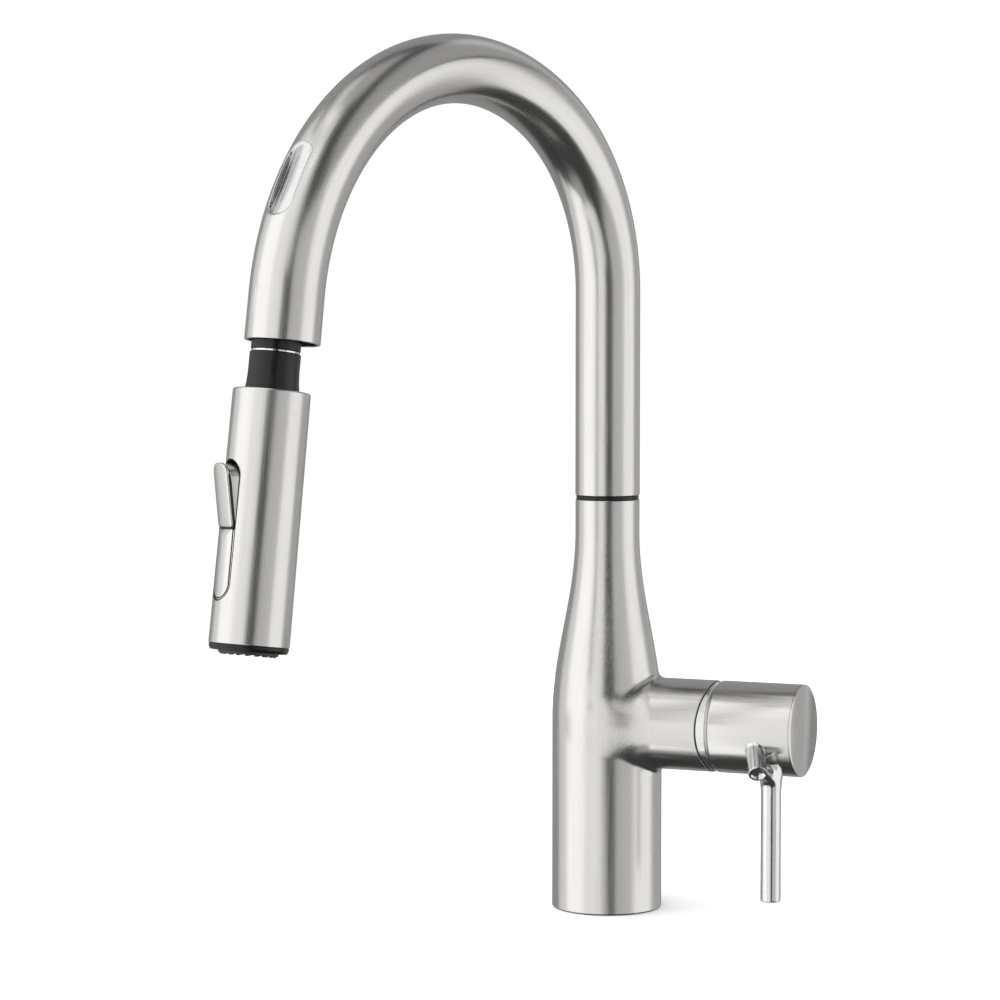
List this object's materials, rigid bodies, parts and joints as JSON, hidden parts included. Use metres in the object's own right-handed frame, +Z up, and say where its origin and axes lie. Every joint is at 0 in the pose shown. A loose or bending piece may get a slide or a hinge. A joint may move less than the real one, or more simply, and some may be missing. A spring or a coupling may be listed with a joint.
{
  "type": "kitchen faucet",
  "caption": "Pull-down kitchen faucet with a swivelling gooseneck spout, a pull-out spray head with a rocker, a touch-free sensor window and a side lever.",
  "frame": {"origin": "centre of the base at deck level, on the body's axis", "axes": "+Z up along the body; +X along the side branch towards the end of the handle's hub; the user stands towards -Y"},
  "size_m": [0.1796, 0.271, 0.3979],
  "materials": {
    "brushed_nickel": "fine vertical brushing, satin",
    "polished_metal": "polished",
    "black_plastic": "satin black",
    "spray_plastic": "satin dark gray",
    "nozzle_rubber": "soft matt nubs",
    "seal_rubber": "matt black",
    "brass": "machined",
    "copper": "drawn copper tube",
    "white_plastic": "moulded",
    "ceramic": null,
    "plain_steel": "turned",
    "circuit_case": "potted case",
    "cable_jacket": "smooth jacket",
    "hose_braid": "braided sleeve"
  },
  "bodies": {
    "body": {"faucet_body": "brushed_nickel", "deck_gasket": "seal_rubber", "base_plate": "brass", "hot_tube": "copper", "cold_tube": "copper", "outlet_tube": "copper", "swivel_ring": "black_plastic", "swivel_bush": "white_plastic", "valve_body": "brass", "port_seals": "seal_rubber", "cartridge_body": "white_plastic", "fixed_disc": "ceramic", "cartridge_nut": "brass", "seam_seal": "black_plastic", "dome_ring": "polished_metal"},
    "mixer": {"cartridge_rotor": "black_plastic", "pivot_pin": "plain_steel"},
    "mixing_disc": {"moving_disc": "ceramic", "disc_driver": "black_plastic"},
    "handle": {"control_stem": "plain_steel", "stem_adapter": "brass", "handle_hub": "brushed_nickel", "lever_boss": "polished_metal", "lever_rod": "polished_metal"},
    "spout": {"gooseneck_tube": "brushed_nickel", "spout_sleeve": "brass", "sleeve_seals": "seal_rubber", "retaining_clip": "plain_steel", "sensor_bezel": "polished_metal", "sensor_lens": "polished_metal", "sensor_module": "circuit_case", "sensor_cable": "cable_jacket", "sensor_connector": "white_plastic", "docking_guide": "black_plastic", "docking_magnet": "plain_steel", "pull_hose": "hose_braid", "hose_coupling": "brass"},
    "hose_end": {"docking_collar": "black_plastic", "collar_snap_ring": "polished_metal", "hose_ferrule": "plain_steel", "swivel_nut": "brass"},
    "head": {"head_shell": "brushed_nickel", "head_core": "black_plastic", "filter_washer": "plain_steel", "check_valve": "white_plastic", "rocker_pin": "plain_steel", "head_base_ring": "black_plastic", "spray_face": "spray_plastic", "face_seal": "seal_rubber", "spray_nozzles": "nozzle_rubber", "aerator": "plain_steel"},
    "rocker": {"rocker_frame": "black_plastic", "rocker_upper_pad": "brushed_nickel", "rocker_lower_pad": "brushed_nickel"},
    "spool": {"diverter_spool": "brass"}
  },
  "joints": [
    {"name": "spout_swivel", "type": "hinge", "parent": "body", "child": "spout", "pos_m": [0, 0, 0.1918], "axis": [0, 0, 1], "continuous": true},
    {"name": "head_pull", "type": "slide", "parent": "spout", "child": "hose_end", "axis": [-0.1487, -0.1781, -0.9727], "range_m": [-0.0196, 0.12], "deforming": ["pull_hose"]},
    {"name": "head_swivel", "type": "hinge", "parent": "hose_end", "child": "head", "pos_m": [-0.06324, -0.21527, 0.24541], "axis": [-0.0377, -0.1322, -0.9905], "continuous": true},
    {"name": "spray_rocker", "type": "hinge", "parent": "head", "child": "rocker", "pos_m": [-0.0719, -0.23211, 0.19004], "axis": [-0.821, 0.5692, -0.0447], "range_deg": [0, 11.5]},
    {"name": "diverter_shift", "type": "slide", "parent": "head", "child": "spool", "axis": [-0.0377, -0.1322, -0.9905], "range_m": [0, 0.0021]},
    {"name": "handle_temperature", "type": "hinge", "parent": "body", "child": "mixer", "pos_m": [0.035, 0, 0.0875], "axis": [1, 0, 0], "range_deg": [-45, 45]},
    {"name": "handle_flow", "type": "hinge", "parent": "mixer", "child": "handle", "pos_m": [0.035, 0, 0.0875], "axis": [0, -1, 0], "range_deg": [0, 20]},
    {"name": "disc_shift", "type": "slide", "parent": "mixer", "child": "mixing_disc", "axis": [0, 0, -1], "range_m": [0, 0.0012]}
  ],
  "couplings": [
    {"joint": "diverter_shift", "follows": "spray_rocker", "m_per_rad": 0.01},
    {"joint": "disc_shift", "follows": "handle_flow", "m_per_rad": 0.0028}
  ]
}
